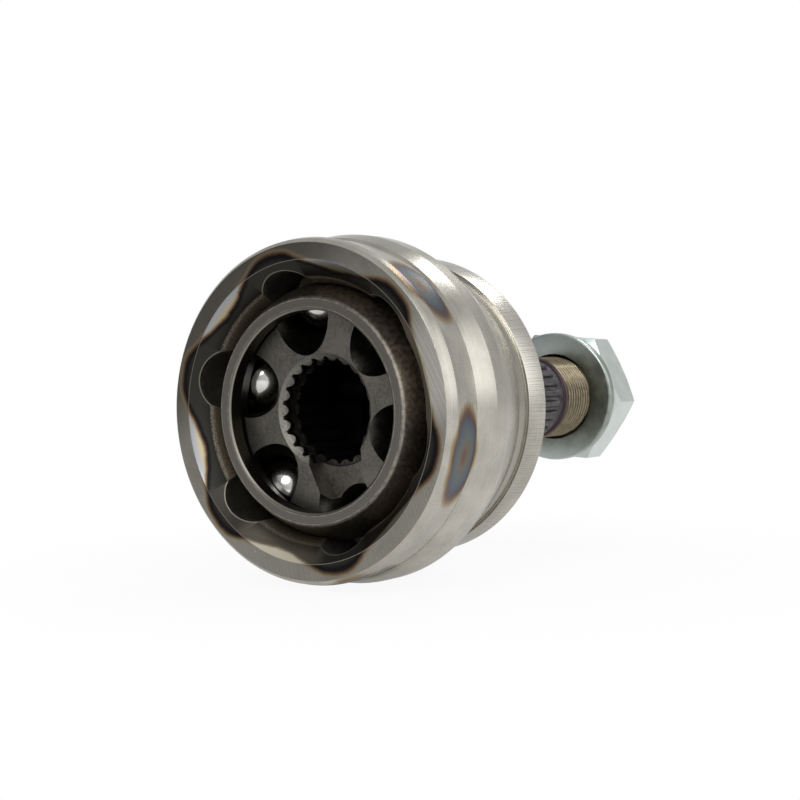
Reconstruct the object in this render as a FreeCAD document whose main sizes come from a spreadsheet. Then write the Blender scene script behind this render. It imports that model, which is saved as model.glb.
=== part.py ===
import FreeCAD, Part
import math
import operator
import os

import Sketcher
from FreeCAD import Placement, Rotation, Vector

# Fixed-ball drive shaft joint: a bell with its stub axle, an inner race, a ball cage, six balls
# and the axle nut with its washer. The origin is the joint centre, where every axis of
# articulation meets. +X runs along the stub towards the nut and the mouth opens towards -X.

document = FreeCAD.newDocument("cv_joint")

# Driving dimensions, in millimetres and degrees. The bell's outside is given as the steps and
# widths that follow each other from the mouth to the end of the stub.
DIMENSIONS = {
    # balls and the grooves they run in
    "balls": 6,
    "first_ball_angle": 75,
    "ball_diameter": 15.875,
    "pitch_radius": 29,
    "groove_offset": 3.6,
    "groove_clearance": 0.2,
    "groove_sweep": 62,
    # spherical seats of the bell, the cage and the race
    "cage_wall_outside_pitch": 4,
    "cage_wall_inside_pitch": 0.7,
    "bell_clearance": 0.2,
    "race_clearance": 0.2,
    # cage
    "cage_front_width": 18.2,
    "cage_rear_width": 16.5,
    "cage_seat_depth": 14.2,
    "cage_edge": 0.5,
    "window_clearance": 0.35,
    "window_length": 20.5,
    "window_corner": 2.5,
    # inner race and its splined bore
    "race_width": 24,
    "race_edge": 0.8,
    "race_teeth": 22,
    "race_tip_diameter": 24.6,
    "race_tooth_depth": 1,
    "race_bore_chamfer": 0.8,
    "clip_groove_setback": 3.5,
    "clip_groove_width": 2.5,
    "clip_groove_depth": 0.7,
    "clip_slot_reach": 21,
    "clip_slot_inner_width": 20.4,
    "clip_slot_outer_width": 12.8,
    # bell inside: the seat ends in a lip that keeps the cage in, and widens to the mouth
    "mouth_depth": 20,
    "seat_lip_height": 2.2,
    "entry_rise": 1.45,
    "mouth_chamfer": 4.05,
    "back_wall_diameter": 35,
    "relief_land": 6.5,
    "relief_depth": 3,
    # bell outside, mouth to back
    "mouth_face_width": 4.1,
    "rim_bevel": 0.95,
    "rim_lip": 0.45,
    "rim_width": 3,
    "boot_seat_depth": 0.4,
    "boot_seat_width": 8.8,
    "ridge_step": 0.5,
    "ridge_height": 1.2,
    "ridge_rise_width": 6.2,
    "ridge_width": 5,
    "flank_width": 15.5,
    "waist_wall": 4,
    "waist_width": 3.9,
    "collar_step": 0.7,
    "collar_height": 0.8,
    "collar_width": 6.8,
    "collar_edge": 0.9,
    "dome_width": 9.3,
    "dome_drop": 11.7,
    "seat_width": 3,
    "seat_diameter": 44,
    # stub axle
    "pilot_diameter": 27,
    "pilot_length": 6.5,
    "spline_diameter": 24.8,
    "spline_depth": 1.1,
    "spline_teeth": 24,
    "spline_length": 38,
    "spline_chamfer": 0.8,
    "shank_length": 3,
    "thread_diameter": 24,
    "thread_depth": 0.8,
    "thread_length": 32,
    "thread_chamfer": 1.4,
    "centre_hole_diameter": 6,
    "centre_hole_depth": 6,
    # washer and nut, set back from the end of the stub
    "nut_setback": 3,
    "washer_thickness": 3,
    "washer_diameter": 38.4,
    "washer_hole_clearance": 0.7,
    "washer_edge": 0.5,
    "spigot_wall": 3,
    "spigot_length": 1.6,
    "spigot_clearance": 0.08,
    "face_clearance": 0.1,
    "nut_across_flats": 36,
    "nut_height": 11.5,
    "nut_corner_angle": 5,
    "nut_corner_chamfer": 1.5,
    "nut_thread_clearance": 0.06,
    "nut_bore_chamfer": 1.2,
}

sheet = document.addObject("Spreadsheet::Sheet", "sizes")
for row, (alias, value) in enumerate(DIMENSIONS.items(), start=1):
    sheet.set(f"A{row}", alias)
    sheet.set(f"B{row}", str(value))
    sheet.setAlias(f"B{row}", alias)
document.recompute()


# A size and the expression that gives it
OPERATIONS = {"+": operator.add, "-": operator.sub, "*": operator.mul, "/": operator.truediv}


class Size:
    """A length or an angle with the sheet expression that it follows."""

    def __init__(self, value, text=None):
        self.value = float(value)
        self.text = text or repr(float(value))

    def __add__(self, other):
        return join(self, "+", other)

    def __radd__(self, other):
        return join(other, "+", self)

    def __sub__(self, other):
        return join(self, "-", other)

    def __rsub__(self, other):
        return join(other, "-", self)

    def __mul__(self, other):
        return join(self, "*", other)

    def __rmul__(self, other):
        return join(other, "*", self)

    def __truediv__(self, other):
        return join(self, "/", other)

    def __neg__(self):
        return join(0, "-", self)


def as_size(number):
    return number if isinstance(number, Size) else Size(number)


def join(left, sign, right):
    left, right = as_size(left), as_size(right)
    value = OPERATIONS[sign](left.value, right.value)
    return Size(value, f"({left.text} {sign} {right.text})")


def root(size):
    return Size(math.sqrt(size.value), f"sqrt({size.text})")


def leg(hypotenuse, other_leg):
    """The other leg of a right triangle, such as the radius of a sphere cut at a distance."""
    return root(hypotenuse * hypotenuse - other_leg * other_leg)


def dim(alias):
    return Size(sheet.get(alias), f"sizes.{alias}")


def half(alias):
    return dim(alias) / 2


# Sketches and features
class Corner:
    """A corner of an outline. An arc from it to the next corner has a radius and a side."""

    def __init__(self, across, up, radius=None, bulge=1):
        self.across = as_size(across)
        self.up = as_size(up)
        self.radius = radius
        self.bulge = bulge

    def point(self):
        return Vector(self.across.value, self.up.value, 0)


def add_sketch(body, name, plane, shift=None, turned=None):
    """A sketch on one of the body's own planes, moved along its normal and turned."""
    sketch = body.newObject("Sketcher::SketchObject", name)
    support = next(item for item in body.Origin.OriginFeatures if item.Role == plane)
    sketch.AttachmentSupport = [(support, "")]
    sketch.MapMode = "FlatFace"
    if turned is not None:
        sketch.AttachmentOffset = Placement(Vector(), turned)
    if shift is not None:
        sketch.setExpression("AttachmentOffset.Base.z", shift.text)
    return sketch


def constrain(sketch, kind, geometry, end, size):
    """Pin one coordinate of a point of the sketch to a size."""
    if size.value == 0 and size.text in ("0.0", "(0.0 - 0.0)"):
        axis = -2 if kind == "DistanceX" else -1
        sketch.addConstraint(Sketcher.Constraint("PointOnObject", geometry, end, axis))
        return
    index = sketch.addConstraint(
        Sketcher.Constraint(kind, -1, 1, geometry, end, size.value))
    sketch.setExpression(f"Constraints[{index}]", size.text)


def draw_circle(sketch, across, up, radius):
    across, up, radius = as_size(across), as_size(up), as_size(radius)
    centre = Vector(across.value, up.value, 0)
    circle = sketch.addGeometry(Part.Circle(centre, Vector(0, 0, 1), radius.value), False)
    index = sketch.addConstraint(Sketcher.Constraint("Radius", circle, radius.value))
    sketch.setExpression(f"Constraints[{index}]", radius.text)
    constrain(sketch, "DistanceX", circle, 3, across)
    constrain(sketch, "DistanceY", circle, 3, up)


def arc_through(first, last, radius, bulge):
    """The short arc between two points, always drawn anticlockwise about its centre."""
    chord = last - first
    middle = (first + last) * 0.5
    height = math.sqrt(max(radius ** 2 - chord.Length ** 2 / 4, 0))
    normal = Vector(chord.y, -chord.x, 0).normalize()
    centre = middle - normal * (height * bulge)
    start, end = (first, last) if bulge > 0 else (last, first)
    begin = math.atan2(start.y - centre.y, start.x - centre.x)
    finish = math.atan2(end.y - centre.y, end.x - centre.x)
    if finish < begin:
        finish += 2 * math.pi
    return Part.ArcOfCircle(Part.Circle(centre, Vector(0, 0, 1), radius), begin, finish)


def draw_outline(sketch, corners):
    """A closed outline whose corners are all pinned to sizes of the sheet."""
    edges = []
    for corner, following in zip(corners, corners[1:] + corners[:1]):
        first, last = corner.point(), following.point()
        if corner.radius is None:
            edge = sketch.addGeometry(Part.LineSegment(first, last), False)
            edges.append((edge, 1, 2))
            continue
        radius = as_size(corner.radius)
        arc = arc_through(first, last, radius.value, corner.bulge)
        edge = sketch.addGeometry(arc, False)
        index = sketch.addConstraint(Sketcher.Constraint("Radius", edge, radius.value))
        sketch.setExpression(f"Constraints[{index}]", radius.text)
        edges.append((edge, 1, 2) if corner.bulge > 0 else (edge, 2, 1))
    for corner, (edge, start, _), (before, _, end) in zip(corners, edges, edges[-1:] + edges[:-1]):
        sketch.addConstraint(Sketcher.Constraint("Coincident", before, end, edge, start))
        constrain(sketch, "DistanceX", edge, start, corner.across)
        constrain(sketch, "DistanceY", edge, start, corner.up)


def new_body(label):
    body = document.addObject("PartDesign::Body", label)
    body.Label = label
    return body


def revolve(body, name, sketch, kind="PartDesign::Revolution", angle=None):
    """Turn a sketch about its own horizontal axis."""
    feature = body.newObject(kind, name)
    feature.Profile = sketch
    feature.ReferenceAxis = (sketch, ["H_Axis"])
    feature.Angle = 360
    if angle is not None:
        feature.setExpression("Angle", angle.text)
    document.recompute()
    return feature


def cut_groove(body, name, sketch, angle=None):
    return revolve(body, name, sketch, "PartDesign::Groove", angle)


def cut_pocket(body, name, sketch, length=None, backwards=False):
    """Cut a sketch through the body, or as deep as the length."""
    pocket = body.newObject("PartDesign::Pocket", name)
    pocket.Profile = sketch
    pocket.Reversed = backwards
    if length is None:
        pocket.Type = "ThroughAll"
    else:
        pocket.Type = "Length"
        pocket.setExpression("Length", length.text)
    document.recompute()
    return pocket


def add_pad(body, name, sketch, length, backwards=False):
    pad = body.newObject("PartDesign::Pad", name)
    pad.Profile = sketch
    pad.Reversed = backwards
    pad.setExpression("Length", length.text)
    document.recompute()
    return pad


def repeat_round(body, name, features, count):
    """Repeat features evenly about the joint's own axis."""
    pattern = body.newObject("PartDesign::PolarPattern", name)
    pattern.Originals = features
    axis = next(item for item in body.Origin.OriginFeatures if item.Role == "X_Axis")
    pattern.Axis = (axis, [""])
    pattern.Angle = 360
    pattern.setExpression("Occurrences", count.text)
    body.Tip = pattern
    document.recompute()
    return pattern


# Sizes that several pieces share
ball_count = int(dim("balls").value)
ball_radius = half("ball_diameter")
groove_radius = ball_radius + dim("groove_clearance")
groove_path = root(dim("pitch_radius") * dim("pitch_radius")
                   + dim("groove_offset") * dim("groove_offset"))
cage_sphere = dim("pitch_radius") + dim("cage_wall_outside_pitch")
bell_sphere = cage_sphere + dim("bell_clearance")
cage_seat = dim("pitch_radius") - dim("cage_wall_inside_pitch")
race_sphere = cage_seat - dim("race_clearance")

# Places along the axis, from the mouth to the end of the stub
mouth = -dim("mouth_depth")
rim_end = mouth + dim("rim_width")
boot_seat_end = rim_end + dim("boot_seat_width")
ridge_start = boot_seat_end + dim("ridge_rise_width")
ridge_end = ridge_start + dim("ridge_width")
waist_start = ridge_end + dim("flank_width")
waist_end = waist_start + dim("waist_width")
collar_end = waist_end + dim("collar_width")
dome_end = collar_end + dim("dome_width")
shoulder = dome_end + dim("seat_width")
pilot_end = shoulder + dim("pilot_length")
spline_end = pilot_end + dim("spline_length")
thread_start = spline_end + dim("shank_length")
stub_end = thread_start + dim("thread_length")

# The nut and, held by its spigot, the washer in front of it
thread_radius = half("thread_diameter")
spigot_radius = thread_radius + dim("spigot_wall")
nut_back = stub_end - dim("nut_setback")
nut_front = nut_back - dim("nut_height")
washer_back = nut_front - dim("face_clearance")

NORMAL = Vector(0, 0, 1)
OVERCUT = 1

# The turn that brings a sketch's up direction to the first ball
first_angle = math.radians(dim("first_ball_angle").value)
ball_turn = -math.degrees(math.atan2(math.cos(first_angle), math.sin(first_angle)))
facing_ball = Rotation(NORMAL, ball_turn)


# Spline tooth spaces: their share of the pitch at the tip circle, and of that width at the root
SPACE_SHARE = 0.5
ROOT_SHARE = 0.55
TOOTH_OVERCUT = 0.6


def cut_spline(body, name, count, tip, base, start, length, backwards=False):
    """Cut straight-sided spline spaces from a tip radius to a root radius."""
    sketch = add_sketch(body, name + "_section", "YZ_Plane", start)
    half_pitch = math.pi / count.value
    outward = 1 if base.value > tip.value else -1
    wide = tip * (half_pitch * SPACE_SHARE)
    narrow = wide * ROOT_SHARE
    beyond = wide + (wide - narrow) * (TOOTH_OVERCUT / abs(base.value - tip.value))
    over = tip - outward * TOOTH_OVERCUT
    draw_outline(sketch, [
        Corner(-beyond, over), Corner(beyond, over), Corner(narrow, base), Corner(-narrow, base)])
    space = cut_pocket(body, name + "_space", sketch, length, backwards)
    return repeat_round(body, name, [space], count)


def cut_ball_grooves(body, centre):
    """Cut an arc for each ball, from the plane through the arcs' centre to both sides."""
    arcs = []
    for name, backwards in (("rear_groove", False), ("front_groove", True)):
        section = add_sketch(body, name + "_section", "YZ_Plane", centre, facing_ball)
        draw_circle(section, 0, groove_path, groove_radius)
        arc = cut_groove(body, name, section, dim("groove_sweep"))
        arc.Reversed = backwards
        arcs.append(arc)
        document.recompute()
    return repeat_round(body, "ball_grooves", arcs, dim("balls"))


def make_bell():
    """Bell and stub axle, one forging that is turned outside and ground in its grooves."""
    body = new_body("bell")
    seat_lip = bell_sphere - dim("seat_lip_height")
    throat = seat_lip + dim("entry_rise")
    mouth_edge = throat + dim("mouth_chamfer")
    mouth_face = mouth_edge + dim("mouth_face_width")
    lip = mouth_face + dim("rim_bevel")
    rim = lip + dim("rim_lip")
    boot_seat = rim - dim("boot_seat_depth")
    ridge_foot = boot_seat + dim("ridge_step")
    ridge = ridge_foot + dim("ridge_height")
    waist = bell_sphere + dim("waist_wall")
    collar_foot = waist + dim("collar_step")
    collar = collar_foot + dim("collar_height")
    collar_edge = dim("collar_edge")
    spline_edge = dim("spline_chamfer")
    shank = thread_radius - dim("thread_depth")
    outline = add_sketch(body, "bell_outline", "XZ_Plane")
    draw_outline(outline, [
        Corner(mouth, 0),
        Corner(mouth, mouth_face),
        Corner(mouth + dim("rim_bevel"), lip),
        Corner(rim_end, rim),
        Corner(rim_end, boot_seat),
        Corner(boot_seat_end, boot_seat),
        Corner(boot_seat_end, ridge_foot),
        Corner(ridge_start, ridge),
        Corner(ridge_end, ridge),
        Corner(waist_start, waist),
        Corner(waist_end, waist),
        Corner(waist_end, collar_foot),
        Corner(collar_end, collar),
        Corner(collar_end + collar_edge, collar - collar_edge),
        Corner(dome_end, collar - dim("dome_drop")),
        Corner(dome_end, half("seat_diameter")),
        Corner(shoulder, half("seat_diameter")),
        Corner(shoulder, half("pilot_diameter")),
        Corner(pilot_end, half("pilot_diameter")),
        Corner(pilot_end, half("spline_diameter")),
        Corner(spline_end - spline_edge, half("spline_diameter")),
        Corner(spline_end, half("spline_diameter") - spline_edge),
        Corner(spline_end, shank),
        Corner(thread_start, shank),
        Corner(thread_start + dim("thread_depth"), thread_radius),
        Corner(stub_end - dim("thread_chamfer"), thread_radius),
        Corner(stub_end, thread_radius - dim("thread_chamfer")),
        Corner(stub_end, 0),
    ])
    revolve(body, "bell_blank", outline)

    # Cavity: a turned chamfer and a narrowing entry in the mouth, the seat of the cage and a flat
    # back wall with a relief
    wall_radius = half("back_wall_diameter")
    back = leg(bell_sphere, wall_radius)
    cavity = add_sketch(body, "cavity_outline", "XZ_Plane")
    draw_outline(cavity, [
        Corner(mouth - OVERCUT, 0),
        Corner(back + dim("relief_depth"), 0),
        Corner(back, wall_radius - dim("relief_land")),
        Corner(back, wall_radius, bell_sphere),
        Corner(-leg(bell_sphere, seat_lip), seat_lip),
        Corner(mouth + dim("mouth_chamfer"), throat),
        Corner(mouth - OVERCUT, mouth_edge + OVERCUT),
    ])
    cut_groove(body, "cavity", cavity)

    # Ball grooves, arcs about a centre between the joint centre and the mouth
    cut_ball_grooves(body, -dim("groove_offset"))

    # Splined stub and the lathe's centre hole
    cut_spline(body, "stub_spline", dim("spline_teeth"), half("spline_diameter"),
               half("spline_diameter") - dim("spline_depth"), spline_end, dim("spline_length"))
    hole = add_sketch(body, "centre_hole_outline", "XZ_Plane")
    draw_outline(hole, [
        Corner(stub_end + OVERCUT, 0),
        Corner(stub_end + OVERCUT, half("centre_hole_diameter")),
        Corner(stub_end, half("centre_hole_diameter")),
        Corner(stub_end - dim("centre_hole_depth"), 0),
    ])
    cut_groove(body, "centre_hole", hole)
    return body


def make_cage():
    """Ball cage, a spherical ring with a window for each ball."""
    body = new_body("cage")
    front, rear = -dim("cage_front_width"), dim("cage_rear_width")
    opening = leg(cage_seat, dim("cage_seat_depth"))
    edge = dim("cage_edge")
    front_rim = leg(cage_sphere, front + edge)
    rear_rim = leg(cage_sphere, rear - edge)
    outline = add_sketch(body, "cage_outline", "XZ_Plane")
    draw_outline(outline, [
        Corner(rear, leg(cage_seat, rear), cage_seat),
        Corner(-dim("cage_seat_depth"), opening),
        Corner(front + edge, opening),
        Corner(front, opening + edge),
        Corner(front, front_rim - edge),
        Corner(front + edge, front_rim, cage_sphere, -1),
        Corner(rear - edge, rear_rim),
        Corner(rear, rear_rim - edge),
    ])
    revolve(body, "cage_ring", outline)
    window = add_sketch(
        body, "window_outline", "XY_Plane", turned=Rotation(Vector(1, 0, 0), ball_turn))
    width = ball_radius + dim("window_clearance")
    length = half("window_length")
    corner = dim("window_corner")
    draw_outline(window, [
        Corner(corner - width, -length),
        Corner(width - corner, -length, corner),
        Corner(width, corner - length),
        Corner(width, length - corner, corner),
        Corner(width - corner, length),
        Corner(corner - width, length, corner),
        Corner(-width, length - corner),
        Corner(-width, corner - length, corner),
    ])
    opening = cut_pocket(body, "window", window, cage_sphere + OVERCUT, backwards=True)
    repeat_round(body, "windows", [opening], dim("balls"))
    return body


def make_race():
    """Inner race: a spherical ring with six ball grooves and a splined bore."""
    body = new_body("inner_race")
    side = half("race_width")
    edge = dim("race_edge")
    tip = half("race_tip_diameter")
    face_radius = leg(race_sphere, side - edge)
    outline = add_sketch(body, "race_outline", "XZ_Plane")
    draw_outline(outline, [
        Corner(-side, tip),
        Corner(-side, face_radius - edge),
        Corner(edge - side, face_radius, race_sphere, -1),
        Corner(side - edge, face_radius),
        Corner(side, face_radius - edge),
        Corner(side, tip),
    ])
    revolve(body, "race_ring", outline)

    # Ball grooves, arcs about a centre as far behind the joint centre as the bell's is before it
    cut_ball_grooves(body, dim("groove_offset"))

    # Splined bore, chamfered at both faces
    base = tip + dim("race_tooth_depth")
    cut_spline(body, "race_spline", dim("race_teeth"), tip, base, -side - OVERCUT,
               dim("race_width") + 2 * OVERCUT, backwards=True)
    bevel = base + dim("race_bore_chamfer")
    for name, face, way in (("front", -side, -1), ("rear", side, 1)):
        cone = add_sketch(body, name + "_bore_chamfer_outline", "XZ_Plane")
        inner = tip - OVERCUT
        draw_outline(cone, [
            Corner(face + way * OVERCUT, inner),
            Corner(face + way * OVERCUT, bevel + OVERCUT),
            Corner(face - way * (bevel - inner), inner),
        ])
        cut_groove(body, name + "_bore_chamfer", cone)

    # Groove for the shaft's locking ring, and the slot that gives pliers access to it
    groove_start = dim("clip_groove_setback") - side
    groove_end = groove_start + dim("clip_groove_width")
    groove_bottom = base + dim("clip_groove_depth")
    ring = add_sketch(body, "clip_groove_outline", "XZ_Plane")
    draw_outline(ring, [
        Corner(groove_start, tip - OVERCUT),
        Corner(groove_start, groove_bottom),
        Corner(groove_end, groove_bottom),
        Corner(groove_end, tip - OVERCUT),
    ])
    cut_groove(body, "clip_groove", ring)
    slot = add_sketch(
        body, "clip_slot_outline", "YZ_Plane", -side, Rotation(NORMAL, ball_turn + 180))
    inner_half, outer_half = half("clip_slot_inner_width"), half("clip_slot_outer_width")
    draw_outline(slot, [
        Corner(-outer_half, dim("clip_slot_reach")),
        Corner(-inner_half, 0),
        Corner(inner_half, 0),
        Corner(outer_half, dim("clip_slot_reach")),
    ])
    cut_pocket(body, "clip_slot", slot, groove_end + side, backwards=True)
    return body


def make_balls():
    """Steel balls on their pitch circle."""
    spacing = 360 / ball_count
    balls = []
    for number in range(ball_count):
        ball = document.addObject("Part::Sphere", f"ball_{number + 1}")
        ball.Label = f"ball_{number + 1}"
        ball.setExpression("Radius", ball_radius.text)
        angle = f"(sizes.first_ball_angle + {number * spacing})"
        ball.setExpression("Placement.Base.y", f"sizes.pitch_radius * cos{angle}")
        ball.setExpression("Placement.Base.z", f"sizes.pitch_radius * sin{angle}")
        balls.append(ball)
    return balls


def make_washer():
    """Thick plain washer, counterbored at the back for the nut's spigot."""
    body = new_body("washer")
    front = washer_back - dim("washer_thickness")
    hole = thread_radius + dim("washer_hole_clearance")
    rim = half("washer_diameter")
    edge = dim("washer_edge")
    pocket = spigot_radius + dim("spigot_clearance")
    step = washer_back - dim("spigot_length")
    outline = add_sketch(body, "washer_outline", "XZ_Plane")
    draw_outline(outline, [
        Corner(front, hole),
        Corner(front, rim - edge),
        Corner(front + edge, rim),
        Corner(washer_back - edge, rim),
        Corner(washer_back, rim - edge),
        Corner(washer_back, pocket),
        Corner(step, pocket),
        Corner(step, hole),
    ])
    revolve(body, "washer_ring", outline)
    return body


# Half the angle that a flat of the hexagon spans, and the slope of its corner chamfer
HALF_FLAT = 30
CORNER_CHAMFER_ANGLE = 60


def make_nut():
    """Hexagon axle nut with a spigot that holds the washer."""
    body = new_body("nut")
    bore = thread_radius + dim("nut_thread_clearance")
    corner_radius = half("nut_across_flats") / math.cos(math.radians(HALF_FLAT))
    nut_turn = Rotation(NORMAL, dim("nut_corner_angle").value - HALF_FLAT)
    hexagon = add_sketch(body, "nut_hexagon", "YZ_Plane", nut_front, nut_turn)
    draw_outline(hexagon, [
        Corner(corner_radius * math.cos(math.radians(angle)),
               corner_radius * math.sin(math.radians(angle)))
        for angle in range(HALF_FLAT, 360, 2 * HALF_FLAT)])
    add_pad(body, "nut_block", hexagon, dim("nut_height"))

    # Spigot that enters the washer
    spigot = add_sketch(body, "spigot_outline", "YZ_Plane", nut_front)
    draw_circle(spigot, 0, 0, spigot_radius)
    add_pad(body, "spigot", spigot, dim("spigot_length"), backwards=True)

    # Rounded corners of the hexagon's outer face
    cone = add_sketch(body, "corner_chamfer_outline", "XZ_Plane")
    drop = dim("nut_corner_chamfer")
    beyond = corner_radius + OVERCUT
    slope = math.tan(math.radians(CORNER_CHAMFER_ANGLE))
    draw_outline(cone, [
        Corner(nut_back, corner_radius - drop * slope),
        Corner(nut_back + OVERCUT, corner_radius - drop * slope),
        Corner(nut_back + OVERCUT, beyond),
        Corner(nut_back - drop + (corner_radius - beyond) / slope, beyond),
    ])
    cut_groove(body, "corner_chamfer", cone)

    # Threaded bore, chamfered at both ends
    hole = add_sketch(body, "nut_bore_outline", "XZ_Plane")
    bevel = dim("nut_bore_chamfer")
    start = nut_front - dim("spigot_length")
    draw_outline(hole, [
        Corner(start - OVERCUT, 0),
        Corner(start - OVERCUT, bore + bevel),
        Corner(start, bore + bevel),
        Corner(start + bevel, bore),
        Corner(nut_back - bevel, bore),
        Corner(nut_back, bore + bevel),
        Corner(nut_back + OVERCUT, bore + bevel),
        Corner(nut_back + OVERCUT, 0),
    ])
    cut_groove(body, "nut_bore", hole)
    return body


pieces = [make_bell(), make_cage(), make_race(), *make_balls(), make_washer(), make_nut()]
document.recompute()

for item in document.Objects:
    if "Invalid" in item.State or "Error" in item.State:
        raise RuntimeError(f"{item.Name} failed: {item.State}")

os.makedirs("parts", exist_ok=True)
for piece in pieces:
    shape = piece.Shape
    if shape.isNull() or not shape.isValid():
        raise RuntimeError(f"{piece.Label} has no valid shape")
    shape.exportStep(f"parts/{piece.Label}.step")
    box = shape.BoundBox
    print(f"{piece.Label}: {shape.Volume:.1f} mm3, X {box.XMin:.2f} to {box.XMax:.2f},"
          f" R {box.ZMax:.2f}, solids {len(shape.Solids)}")
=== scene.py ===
import math

import bmesh
import bpy
from mathutils import Matrix, Vector


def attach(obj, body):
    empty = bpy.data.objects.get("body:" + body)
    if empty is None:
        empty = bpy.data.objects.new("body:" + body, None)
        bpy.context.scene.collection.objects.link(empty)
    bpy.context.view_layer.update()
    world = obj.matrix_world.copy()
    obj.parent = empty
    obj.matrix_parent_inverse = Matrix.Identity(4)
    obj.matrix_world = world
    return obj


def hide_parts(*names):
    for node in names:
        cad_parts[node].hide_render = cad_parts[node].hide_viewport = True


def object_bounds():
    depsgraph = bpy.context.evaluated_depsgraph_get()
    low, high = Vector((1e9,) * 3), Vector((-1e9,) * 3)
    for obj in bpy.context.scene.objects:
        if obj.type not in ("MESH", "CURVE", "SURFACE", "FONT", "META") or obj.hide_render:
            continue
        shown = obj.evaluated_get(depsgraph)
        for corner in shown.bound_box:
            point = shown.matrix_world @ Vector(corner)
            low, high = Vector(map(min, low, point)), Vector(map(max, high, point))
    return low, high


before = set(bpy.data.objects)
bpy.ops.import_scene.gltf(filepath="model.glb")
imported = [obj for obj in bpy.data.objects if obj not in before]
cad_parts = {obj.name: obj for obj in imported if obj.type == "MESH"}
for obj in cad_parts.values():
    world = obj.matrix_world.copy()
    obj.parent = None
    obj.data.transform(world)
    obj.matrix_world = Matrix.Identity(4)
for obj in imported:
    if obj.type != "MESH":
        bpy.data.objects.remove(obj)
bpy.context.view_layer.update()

# Bell and stub axle
# One steel forging. The outside is turned on a lathe, the mouth is turned to a wide chamfer, and the
# ball grooves are ground and induction hardened, which leaves temper colours inside and outside.
# Lengths are in millimetres, with x measured along the axis from the joint centre.
MM = 0.001
ROUND_SEGMENTS = 288
MOUTH_X = -20.0
MOUTH_EDGE = 36.5
THROAT = 32.45
CONE_END = MOUTH_X + MOUTH_EDGE - THROAT
SEAT_LIP = 31.0
SEAT_RADIUS = 33.2
LIP_X = -math.sqrt(SEAT_RADIUS**2 - SEAT_LIP**2)
BACK_WALL = 28.2
BACK_CONE_RADIUS = 11.0
BACK_CONE_DEPTH = 3.0
FACE_EDGE = 40.6
RIM_RADIUS = 42.0
RIM_BACK = -17.0
BOOT_LAND = 41.6
BOOT_STEP = -8.2
RIDGE_RADIUS = 43.3
WAIST_X = 18.5
WAIST_RADIUS = 37.2
COLLAR_FRONT = 22.4
COLLAR_BACK = 29.2
COLLAR_RADIUS = 38.7
SHOULDER_X = 38.5
SHOULDER_RADIUS = 27.0
HUB_SEAT_X = 41.5
HUB_SEAT_RADIUS = 22.0
PILOT_RADIUS = 13.5

# The balls' paths are arcs about a point on the axis, in front of the joint centre for the bell and
# behind it for the race. The bell's grooves widen a little toward the mouth.
GROOVES = 6
GROOVE_PITCH = 2 * math.pi / GROOVES
FIRST_GROOVE = math.radians(15)
TOP_TO_GROOVE = FIRST_GROOVE - math.pi / 2
PATH_RADIUS = 29.22
PATH_OFFSET = 3.6
GROOVE_RADIUS = 8.137
GROOVE_SWEEP = math.radians(62)
FLARE_START = math.radians(19.5)
FLARE_SLOPE = 0.35

# The stub, with x at the end of each of its stretches
SPLINE_TEETH = 24
SPLINE_RADIUS = 12.4
SPLINE_ROOT = 11.3
SPLINE_START = 48.0
SPLINE_END = 86.0
THREAD_RADIUS = 12.0
THREAD_ROOT = 11.0
THREAD_PITCH = 1.5
THREAD_START = 89.0
NECK_RADIUS = 11.2
CORE_RADIUS = 11.08
STUB_END = 121.0
CENTRE_RADIUS = 3.0
CENTRE_DEPTH = 6.0


def rounded(corners, steps=4):
    """Profile points of (x, radius, rounding) corners, each rounded by a short curve."""
    points = []
    for number, (x, r, rounding) in enumerate(corners):
        here = Vector((x, r))
        if number in (0, len(corners) - 1) or rounding == 0:
            points.append(here)
            continue
        back = Vector(corners[number - 1][:2]) - here
        ahead = Vector(corners[number + 1][:2]) - here
        turn = math.pi - back.angle(ahead)
        room = 0.45 * min(back.length, ahead.length)
        reach = min(rounding * math.tan(turn / 2), room)
        start, end = here + back.normalized() * reach, here + ahead.normalized() * reach
        for step in range(steps + 1):
            part = step / steps
            points.append(start.lerp(here, part).lerp(here.lerp(end, part), part))
    return points


def new_piece(name, mesh):
    """An object at the origin from a bmesh in millimetres."""
    bmesh.ops.scale(mesh, vec=(MM, MM, MM), verts=mesh.verts)
    bmesh.ops.recalc_face_normals(mesh, faces=mesh.faces)
    data = bpy.data.meshes.new(name)
    mesh.to_mesh(data)
    mesh.free()
    piece = bpy.data.objects.new(name, data)
    bpy.context.scene.collection.objects.link(piece)
    return piece


def lathe(name, profile, segments=ROUND_SEGMENTS):
    """A solid of revolution about the axis from a closed profile of (x, radius) points."""
    mesh = bmesh.new()
    rings = []
    for x, r in profile:
        if r < 1e-6:
            rings.append([mesh.verts.new((x, 0, 0))])
            continue
        turns = [2 * math.pi * k / segments for k in range(segments)]
        rings.append([mesh.verts.new((x, r * math.cos(a), r * math.sin(a))) for a in turns])
    for one, two in zip(rings, rings[1:] + rings[:1]):
        if len(one) == 1 and len(two) == 1:
            continue
        for k in range(segments):
            corners = [one[k % len(one)], one[(k + 1) % segments % len(one)],
                       two[(k + 1) % segments % len(two)], two[k % len(two)]]
            mesh.faces.new(list(dict.fromkeys(corners)))
    return new_piece(name, mesh)


def bar(name, rings):
    """A closed bar over rings of points, with a flat face at each end."""
    mesh = bmesh.new()
    rows = [[mesh.verts.new(point) for point in ring] for ring in rings]
    for one, two in zip(rows, rows[1:]):
        for k in range(len(one)):
            n = (k + 1) % len(one)
            mesh.faces.new((one[k], one[n], two[n], two[k]))
    mesh.faces.new(rows[0])
    mesh.faces.new(rows[-1])
    return new_piece(name, mesh)


def prism(name, outline, start, end):
    """A bar along the axis with the given (y, z) outline."""
    return bar(name, [[(x, y, z) for y, z in outline] for x in (start, end)])


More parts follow.
